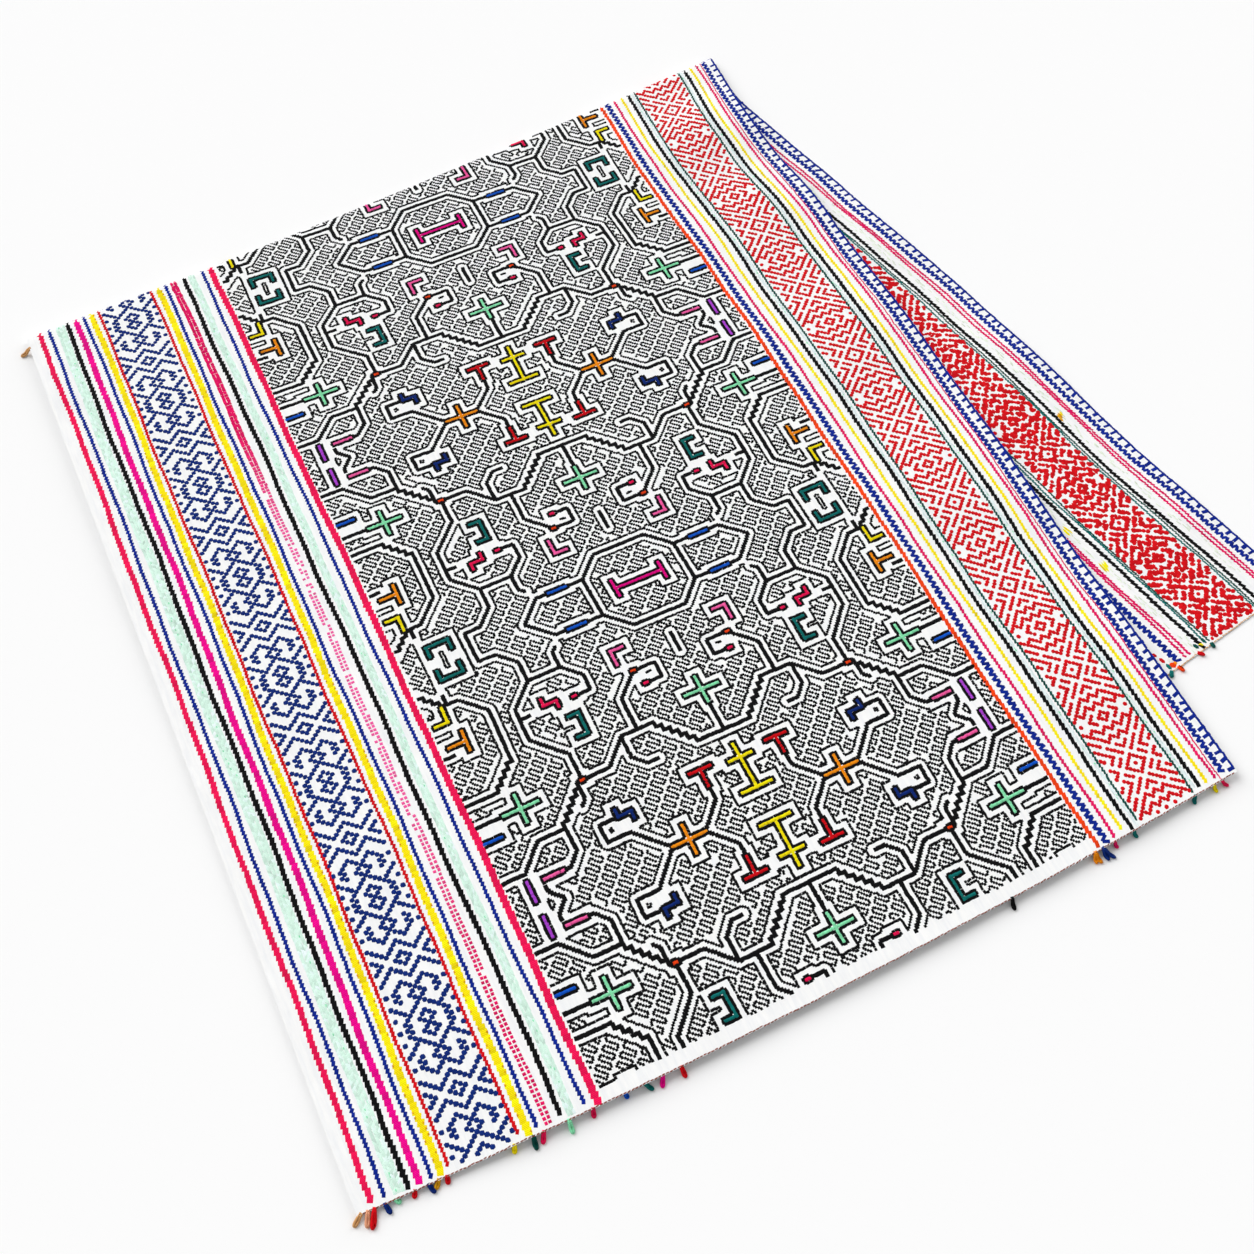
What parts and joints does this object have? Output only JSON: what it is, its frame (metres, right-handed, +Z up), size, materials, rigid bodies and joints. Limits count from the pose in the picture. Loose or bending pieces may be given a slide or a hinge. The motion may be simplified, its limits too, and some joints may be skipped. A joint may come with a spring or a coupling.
{
  "type": "folded embroidered cloth",
  "caption": "White cotton cloth folded once across its length and laid flat, its face covered in geometric counted-thread embroidery between striped borders.",
  "frame": {"origin": "under the middle of the whole cloth's box, on the surface it lies on", "axes": "+X across the cloth from its plain edge to its blanket-stitched edge, +Y from the open ends to the fold, +Z up"},
  "size_m": [0.7798, 0.7936, 0.0092],
  "materials": {
    "white_cotton": "matte plain weave",
    "embroidery_thread": "soft sheen stranded cotton in many colours"
  },
  "bodies": {
    "root": {"cloth": "white_cotton", "near_end_threads": "embroidery_thread", "under_end_threads": "embroidery_thread"}
  },
  "joints": []
}
